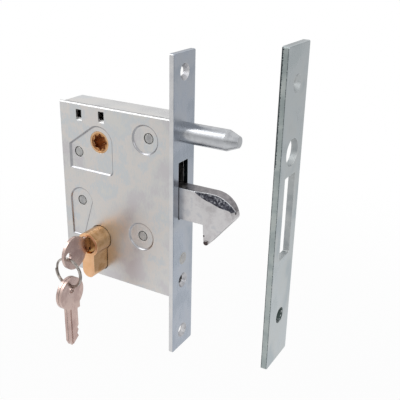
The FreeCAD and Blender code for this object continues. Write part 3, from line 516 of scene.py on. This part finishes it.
def plate_piece(name, node, body, paints, edge_mm):
    """A plate whose near side, far edge and hole walls each have a finish of their own."""
    piece = add_piece(name, merged_copy(node), body, paints)
    low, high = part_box(node)
    # A side or edge lies within 1.2 mm of the plate's box. Hole walls lie further in and are
    # all that doesn't face along X, which the front and the rear do.
    inset = 0.0012
    for face in piece.data.polygons:
        middle, facing = face.center, face.normal
        face.material_index = 0
        if facing.y < -0.8 and middle.y < low[1] + inset:
            face.material_index = 1
        elif facing.y > 0.3 and middle.y > high[1] - inset:
            face.material_index = 2
        elif abs(facing.x) < 0.95 and low[1] + inset < middle.y < high[1] - inset:
            if low[2] + inset < middle.z < high[2] - inset:
                face.material_index = 3
    soften(piece, edge_mm)
    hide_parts(node)
    return piece


faceplate = plate_piece("drawn_faceplate", "faceplate", "lock_case",
                        [faceplate_zinc, faceplate_side, rolled_edge, punched, slot_wall], 0)
# Of all the hole walls, those between these two heights are the hook slot's
slot_low, slot_high = at(0, 0, 80).z, at(0, 0, 148).z
# The hook slot's walls take the painted shade
for face in faceplate.data.polygons:
    if face.material_index == 3 and slot_low < face.center.z < slot_high:
        face.material_index = 4

# Strike plate
# Rolled steel strip 4 mm thick that is screwed to the post, with a slot for the hook.
# The same plating, older and greener, with a grain along the strip and bright worn edges.

strike_zinc = metal_surface(
    "zinc plated strip, worn",
    shades=["#A9B1B4", "#B5BCBF", "#BABFC0", "#AFB8BC"], rough=(0.25, 0.40),
    patch_mm=24, grain_mm=0.8, depth_mm=0.012, edge_mm=0.45, worn="#E2E5E4", stretch=(1, 1, 0.12))
# The sheared side has dark chips along both edges, most at the top of the rear one
strike_side = metal_surface(
    "zinc plated strip, sheared side",
    shades=["#9DA6A6", "#ABB3B2", "#B6BCBA"], rough=(0.35, 0.50),
    patch_mm=6, grain_mm=0.9, depth_mm=0.050, edge_mm=0.2, worn="#C8CCCC", stretch=(1, 1, 0.4))
strike_rear, strike_front, strike_near = 67, 71, -15
strike_foot, strike_bend, strike_top = 15, 150, 216
chips_and_shade(strike_side, [
    (at(strike_rear, strike_near, strike_bend), at(strike_rear, strike_near, strike_top), 1.7),
    (at(strike_rear, strike_near, strike_foot), at(strike_rear, strike_near, strike_bend), 0.7),
    (at(strike_front, strike_near, strike_foot), at(strike_front, strike_near, strike_top), 0.9),
], "#3C4446")
# The walls of the holes are duller, and the lower screw hole is darker
strike_wall = metal_surface(
    "punched steel, thin zinc",
    shades=["#A9AEB0", "#B7BBBC", "#C2C5C5"], rough=(0.50, 0.65),
    patch_mm=6, grain_mm=0.6, depth_mm=0.020, edge_mm=0.3, worn="#DADADA")
hole_dark_low, hole_dark_high, hole_dark_mm = at(strike_rear, -1, 47), at(strike_front + 1, 1, 48.6), 9.0
chips_and_shade(strike_wall, [(hole_dark_low, hole_dark_high, hole_dark_mm)], "#46514F")
plate_piece("screwed_strike", "strike_plate", "strike",
            [strike_zinc, strike_side, rolled_edge, strike_wall], 0.3)

# Centring pin
# Free-cutting steel turned to a round shank and a blunt cone, riveted into the faceplate.
# The tool leaves fine rings round it, which draw bright bands along the pin.

pin_steel = metal_surface(
    "bright turned steel",
    shades=["#ABADB1", "#C1C3C6", "#B6B8BC"], rough=(0.26, 0.38),
    patch_mm=8, grain_mm=0.5, depth_mm=0.012, edge_mm=0.3, worn="#F0F0F0", stretch=(1, 0.05, 0.05))
dress(["centring_pin"], pin_steel)

# Rivets and stud
# Steel rivets closed in the cover's pressings, and the stud in the faceplate.
# Their ends are hammered, so they are a little duller than the sheet round them.

rivet_steel = metal_surface(
    "zinc plated rivet, hammered end",
    shades=["#A2A2A3", "#B5B5B4", "#BFBDB9"], rough=(0.32, 0.48),
    patch_mm=4, grain_mm=0.7, depth_mm=0.02, edge_mm=0.35, worn="#DDDDDB")
dress(["faceplate_stud", "upper_case_rivet", "rear_case_rivet", "hook_pivot_rivet",
       "lever_pivot_rivet"], rivet_steel)

# Hook
# Cast steel with a pivot boss and two tails, tumbled and then zinc plated.
# A slanting flat cut across the cover side of the nose keeps the rough, dark casting skin.


def trace(corners):
    """Points of a closed outline. A corner with a radius starts an arc to the next one."""
    arc_step_deg = 9
    points = []
    for i, corner in enumerate(corners):
        start = Vector(corner[:2])
        end = Vector(corners[(i + 1) % len(corners)][:2])
        points.append(start)
        if len(corner) == 2:
            continue
        chord = end - start
        rise = math.sqrt(max(corner[2] ** 2 - chord.length ** 2 / 4, 0.0))
        centre = (start + end) / 2 + Vector((-chord.y, chord.x)).normalized() * rise
        spoke = start - centre
        sweep = spoke.angle_signed(end - centre)
        count = max(2, round(abs(math.degrees(sweep)) / arc_step_deg))
        for k in range(1, count):
            points.append(centre + Matrix.Rotation(-sweep * k / count, 2) @ spoke)
    return points


def circle(deep, high, radius, count):
    """Points round a circle, as an outline."""
    turns = [2 * math.pi * (i + 0.5) / count for i in range(count)]
    return [(deep + radius * math.cos(a), high + radius * math.sin(a)) for a in turns]


nose_deep, nose_high, nose_radius = 23.2, 105.0, 15.2


def nose_height(deep):
    """Height of the hook's top: level over the neck, round over the nose."""
    if deep <= nose_deep:
        return nose_high + nose_radius
    return nose_high + math.sqrt(nose_radius ** 2 - (deep - nose_deep) ** 2)


near_side, far_side = -5.9, 4.1
# From the throat round the tip and up under the nose, as (deep, high), with an arc's radius
throat_and_tip = trace([(17.8, 99.0), (18.4, 86.4, 1.8), (21.3, 85.7), (37.45, 104.95, 3.0),
                        (38.2, 107.5)])[:-1]
# Up the front of the nose to the flat, which begins lower on the far side
near_front = [(deep, nose_height(deep)) for deep in (38.2, 38.0, 37.7, 37.3)]
far_front = [(deep, nose_height(deep)) for deep in (38.2, 38.1, 38.0, 37.9)]
# The flat, from the nose's front to the neck: a point of its ridge, how far in that lies from
# the near side, and the depth and height of the flat's foot there
crest = [(37.6, 6.3, 36.9, 111.4), (37.0, 5.3, 36.2, 112.1), (36.0, 4.4, 35.0, 112.4),
         (34.6, 3.6, 33.4, 112.5), (32.8, 2.9, 31.6, 112.6), (30.6, 2.3, 29.4, 113.0),
         (28.0, 2.0, 27.1, 113.6), (25.2, 1.8, 24.8, 114.4), (22.5, 1.6, 22.3, 115.1),
         (19.6, 1.3, 19.6, 115.8), (16.8, 1.0, 16.8, 116.7), (14.0, 0.6, 14.0, 118.1),
         (11.4, 0.1, 11.4, 119.8)]
# Back over the neck, round the upper tail, the lower tail and the boss, to the throat
tails_and_boss = trace([
    (-8.0, 120.2), (-14.5, 117.2), (-24.5, 107.0), (-31.5, 106.5), (-34.5, 119.0, 3.5),
    (-38.0, 122.5, 3.5), (-41.5, 119.0), (-37.8, 96.0), (-40.0, 91.6), (-44.1, 92.96, 3.5),
    (-47.0, 94.5, 3.5), (-50.5, 91.0, 3.5), (-47.0, 87.5), (-37.5, 81.6, 12.0),
    (-25.5, 69.6, 12.0), (-13.5, 81.6), (-9.0, 94.0), (-4.0, 99.0)])
net = bmesh.new()
near_start = [net.verts.new(at(x, near_side, z)) for x, z in throat_and_tip + near_front]
far_start = [net.verts.new(at(x, far_side, z)) for x, z in throat_and_tip + far_front]
foot_line = [net.verts.new(at(deep, near_side, high)) for _, _, deep, high in crest]
ridge = [net.verts.new(at(x, near_side + inward, nose_height(x))) for x, inward, _, _ in crest]
far_line = [net.verts.new(at(x, far_side, nose_height(x))) for x, _, _, _ in crest]
near_rest = [net.verts.new(at(x, near_side, z)) for x, z in tails_and_boss]
far_rest = [net.verts.new(at(x, far_side, z)) for x, z in tails_and_boss]
near_loop = near_start + foot_line + near_rest
far_loop = far_start + far_line + far_rest
flat_start, flat_end = len(near_start) - 1, len(near_start) + len(foot_line) - 1
# The walls of the nose's front and the five below it are tumbled smooth, the others stay rough
smooth_below = 5
smooth_start = flat_start - len(near_front) - smooth_below
for i in range(len(near_loop)):
    j = (i + 1) % len(near_loop)
    if i == flat_start:
        net.faces.new((near_loop[i], far_loop[i], far_line[0], ridge[0], foot_line[0]))
    elif i == flat_end:
        neck = net.faces.new((foot_line[-1], ridge[-1], far_line[-1], far_rest[0], near_rest[0]))
        neck.material_index = 2
    elif flat_start < i < flat_end:
        k = i - len(near_start)
        net.faces.new((foot_line[k], ridge[k], ridge[k + 1], foot_line[k + 1])).material_index = 1
        net.faces.new((ridge[k], far_line[k], far_line[k + 1], ridge[k + 1])).material_index = 2
    else:
        wall = net.faces.new((near_loop[i], far_loop[i], far_loop[j], near_loop[j]))
        wall.material_index = 0 if smooth_start < i < flat_start else 2
pivot_deep, pivot_high, bore_radius = -25.5, 81.6, 4.0
bore = circle(pivot_deep, pivot_high, bore_radius, 32)
near_bore = [net.verts.new(at(x, near_side, z)) for x, z in bore]
far_bore = [net.verts.new(at(x, far_side, z)) for x, z in bore]
for i in range(len(bore)):
    j = (i + 1) % len(bore)
    net.faces.new((near_bore[i], near_bore[j], far_bore[j], far_bore[i]))
for loop, hole in ((near_loop, near_bore), (far_loop, far_bore)):
    rims = []
    for rim in (loop, hole):
        for i in range(len(rim)):
            rims.append(net.edges.get((rim[i], rim[(i + 1) % len(rim)])))
    bmesh.ops.triangle_fill(net, use_beauty=True, use_dissolve=False, edges=rims)
# The ridge and the neck's upper edge are rubbed bright
rubbed = 0.00028
bright = [net.edges.get(pair) for pair in zip(ridge, ridge[1:])]
bright += [net.edges.get((foot_line[-1], ridge[-1])), net.edges.get((foot_line[-1], near_rest[0]))]
bmesh.ops.bevel(net, geom=bright, offset=rubbed, segments=2, profile=0.5, affect="EDGES",
                material=3, clamp_overlap=True)
bmesh.ops.recalc_face_normals(net, faces=net.faces)
hook_mesh = bpy.data.meshes.new("hook")
net.to_mesh(hook_mesh)
net.free()

# Tumbling leaves the broad sides almost smooth, with a casting grain of about 0.7 mm
hook_side = metal_surface(
    "zinc plated cast steel, tumbled",
    shades=["#C2BFC0", "#CFCDCE", "#D5D3D3", "#C9C9CC"], rough=(0.28, 0.42),
    patch_mm=7, grain_mm=0.7, depth_mm=0.030, edge_mm=0.3, worn="#E8E8E8")
# The flat keeps its skin: dark pits with bright grains of zinc, drawn about 1 mm wide to show
hook_skin = metal_surface(
    "zinc plated cast steel, raw skin",
    shades=["#33343B", "#4A4B53", "#5E5F67", "#A9AAAF"], rough=(0.30, 0.60),
    patch_mm=1.3, grain_mm=0.8, depth_mm=0.22, edge_mm=0.2, worn="#8E8F95")
# The narrow sides are rough and darker, where the tumbling has hardly reached
hook_back = metal_surface(
    "zinc plated cast steel, rough back",
    shades=["#7D7A7C", "#949093", "#A8A4A5"], rough=(0.34, 0.55),
    patch_mm=3, grain_mm=0.8, depth_mm=0.12, edge_mm=0.3, worn="#C8C6C6")
# Edges are rubbed to a narrow bright line
hook_edge = metal_surface(
    "zinc plated cast steel, rubbed edge",
    shades=["#C6C7CA", "#DCDDE0", "#EDEEF0"], rough=(0.18, 0.40),
    patch_mm=2, grain_mm=0.6, depth_mm=0.05, edge_mm=0.1, worn="#F0F0F0")
# Chips at the tip and a little above it, and a darker nick in the front of the nose
tip, spot = at(20.3, near_side, 86.6), at(18.6, near_side, 91.5)
nick = at(37.7, near_side + 5.6, 109.7)
chips_and_shade(hook_side, [(tip, tip, 4.0), (spot, spot, 1.2)], "#4E4545")
chips_and_shade(hook_side, [(nick, nick, 2.2)], "#3E3A3C")
hook = add_piece("cast_hook", hook_mesh, "hook",
                 [hook_side, hook_skin, hook_back, hook_edge])
soften(hook, width_mm=0.35, angle_deg=28, edge_paint=3)
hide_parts("hook")

# Follower
# Cast brass hub that turns in the case, with two square holes set across each other.
# Rubbed bright on the rim, with brown copper-rich skin in the sunk middle and the holes.

follower_brass = metal_surface(
    "cast brass, skin",
    shades=["#8A5B38", "#A9774C", "#C4915F", "#93603A"], rough=(0.24, 0.40),
    patch_mm=5, grain_mm=0.7, depth_mm=0.03, edge_mm=0.3, worn="#E9C79A")
follower_rim = metal_surface(
    "cast brass, rubbed rim",
    shades=["#C79C72", "#D6AE84", "#DDB890"], rough=(0.22, 0.34),
    patch_mm=5, grain_mm=0.7, depth_mm=0.02, edge_mm=0.2, worn="#F0D2AA")
hub_deep, hub_high = -59.0, 140.3
# The second square stands on its corner, and goes through the hub from side to side
half_diagonal, beyond_hub = 5.8, 12
diamond = [(hub_deep + half_diagonal, hub_high), (hub_deep, hub_high + half_diagonal),
           (hub_deep - half_diagonal, hub_high), (hub_deep, hub_high - half_diagonal)]
# The middle is sunk from the hub's near end at -9.2 mm
sunk_radius, sunk_near, sunk_far = 6.2, -9.4, -8.6
sunk = circle(hub_deep, hub_high, sunk_radius, 48)
follower = add_piece("follower_hub", merged_copy("follower"), "follower",
                     [follower_brass, follower_rim])
carve(follower, [prism(sunk, sunk_near, sunk_far), prism(diamond, -beyond_hub, beyond_hub)])
# In metres: the rubbed rim is what lies nearer than this and further out from the middle
hub, hub_end, rim_inner = at(hub_deep, 0, hub_high), -0.0091, 0.0060
for face in follower.data.polygons:
    from_middle = face.center - hub
    face.material_index = 0
    if face.center.y < hub_end and Vector((from_middle.x, from_middle.z)).length > rim_inner:
        face.material_index = 1
soften(follower, width_mm=0.3, angle_deg=50)
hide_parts("follower")

# Cam lever and cylinder cam
# A blanked steel lever and a sintered cam, both inside the closed case.
# The lever has a plain dull plating. The cam is left as it was pressed, grey and fine-pored.

lever_steel = metal_surface(
    "zinc plated blank",
    shades=["#A3A3A2", "#B4B3B0", "#BEBEBC"], rough=(0.34, 0.50),
    patch_mm=10, grain_mm=0.8, depth_mm=0.02, edge_mm=0.3, worn="#D8D8D6")
dress(["cam_lever"], lever_steel)
cam_steel = metal_surface(
    "sintered steel",
    shades=["#6F6F70", "#807E7B", "#8F8F8F"], rough=(0.42, 0.60),
    patch_mm=4, grain_mm=0.5, depth_mm=0.03, edge_mm=0.3, worn="#A5A5A5")
dress(["cylinder_cam"], cam_steel)

# Profile cylinder
# Drawn brass bar, bored for the plugs and milled for the cam, with a satin finish.
# The plug's face lies sunk in its bore, behind the barrel's.

# The fine lines run along the bar and soften its highlights
cylinder_brass = metal_surface(
    "satin drawn brass",
    shades=["#B68C60", "#C9A075", "#D5AE86", "#C09566"], rough=(0.24, 0.38),
    patch_mm=9, grain_mm=0.5, depth_mm=0.008, edge_mm=0.35, worn="#F2D6A6", stretch=(1, 0.10, 1))
# The plug is darker, painted shade for its place sunk in the bore, and duller from years of keys
plug_brass = metal_surface(
    "turned brass, worn",
    shades=["#A98250", "#C09864", "#CFA873"], rough=(0.26, 0.42),
    patch_mm=6, grain_mm=0.5, depth_mm=0.012, edge_mm=0.3, worn="#EFD09C")
# The end face is pale and pinkish, a painted highlight for the light falling on it
lit_end_brass = metal_surface(
    "brass end face, painted highlight",
    shades=["#E6B588", "#F0C094", "#F5CAA2"], rough=(0.30, 0.42),
    patch_mm=6, grain_mm=0.5, depth_mm=0.010, edge_mm=0.3, worn="#FBE2C2")
axis_deep, axis_high, plug_bore = -60.0, 72.3, 6.45
sink_mm = 1.5
recess_near, recess_far = -25.4, -23.8 + sink_mm
# In metres: the barrel's end and the plug's face lie nearer than these
barrel_end, plug_face = -0.0245, -0.0235
barrel = add_piece("cylinder_case", merged_copy("cylinder_body"), "lock_case",
                   [cylinder_brass, lit_end_brass])
carve(barrel, [prism(circle(axis_deep, axis_high, plug_bore, 64), recess_near, recess_far)])
# The end faces take the painted highlight
for face in barrel.data.polygons:
    face.material_index = 1 if face.normal.y < -0.9 and face.center.y < barrel_end else 0
soften(barrel, width_mm=0.35, angle_deg=50)
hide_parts("cylinder_body")
plug_mesh = merged_copy("front_plug")
for point in plug_mesh.vertices:
    if point.co.y < plug_face:
        point.co.y += sink_mm / 1000
plug = add_piece("sunk_plug", plug_mesh, "plug", [plug_brass])
soften(plug)
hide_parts("front_plug")
dress(["rear_plug"], plug_brass)

# Keys and ring
# Keys cut from nickel-plated brass strip, worn by the pocket, on a split ring of flat wire.
# Nickel is warmer than zinc and almost bright, with faint scratches.

key_nickel = metal_surface(
    "nickel plated, worn",
    shades=["#B39A94", "#C2AAA3", "#CFB8AF", "#BAA19A"], rough=(0.24, 0.34),
    patch_mm=12, grain_mm=0.6, depth_mm=0.006, edge_mm=0.3, worn="#D2C8C2", stretch=(1, 1, 0.2))
dress(["key_in_lock", "spare_key_front", "spare_key_rear"], key_nickel)
ring_nickel = metal_surface(
    "nickel plated wire",
    shades=["#7C7671", "#9E9791", "#C4BEB9"], rough=(0.14, 0.26),
    patch_mm=5, grain_mm=0.6, depth_mm=0.006, edge_mm=0.15, worn="#E8E4E0")
# Two turns of flat wire lie side by side, and the wire steps across once between its two ends
ring_mid = at(-60.0, -45.2, 60.55)
ring_radius, wire_radial, wire_axial, half_pitch = 10.0, 0.78, 0.41, 0.42
first_deg, last_deg, crossing_deg, step_deg, start_deg = 24, 696, 20, 4, 150
# The wire's section is a rounded square drawn wide, and its two ends are filed thinner
wire_points, squareness, filed = 12, 0.5, 0.6
net = bmesh.new()
rings = []
for angle in range(first_deg, last_deg + 1, step_deg):
    way_round = math.radians(angle + start_deg)
    across = min(1.0, max(-1.0, (angle - 360) / crossing_deg))
    blunt = filed if angle in (first_deg, last_deg) else 1.0
    loop = []
    for k in range(wire_points):
        lean = 2 * math.pi * k / wire_points
        radial, axial = (math.copysign(abs(part) ** squareness, part) * half * blunt
                         for part, half in ((math.cos(lean), wire_radial),
                                            (math.sin(lean), wire_axial)))
        reach = (ring_radius + radial) / 1000
        loop.append(net.verts.new(ring_mid + Vector((
            reach * math.cos(way_round), (axial + across * half_pitch) / 1000,
            reach * math.sin(way_round)))))
    rings.append(loop)
for one, two in zip(rings, rings[1:]):
    for k in range(wire_points):
        following = (k + 1) % wire_points
        net.faces.new((one[k], one[following], two[following], two[k]))
net.faces.new(rings[0][::-1])
net.faces.new(rings[-1])
bmesh.ops.recalc_face_normals(net, faces=net.faces)
ring_mesh = bpy.data.meshes.new("split ring")
net.to_mesh(ring_mesh)
net.free()
split_ring = add_piece("split_ring", ring_mesh, "ring", [ring_nickel])
soften(split_ring)
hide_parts("key_ring")

# Springs
# Torsion springs wound from oil-tempered spring wire and left dark.
# Each lies round a rivet inside the case.

spring_steel = metal_surface(
    "oil-tempered spring wire",
    shades=["#4E4E52", "#5F5A55", "#6E6E70"], rough=(0.30, 0.45),
    patch_mm=4, grain_mm=0.5, depth_mm=0.006, edge_mm=0.1, worn="#808082")
dress(["hook_spring", "follower_spring", "lever_spring"], spring_steel)
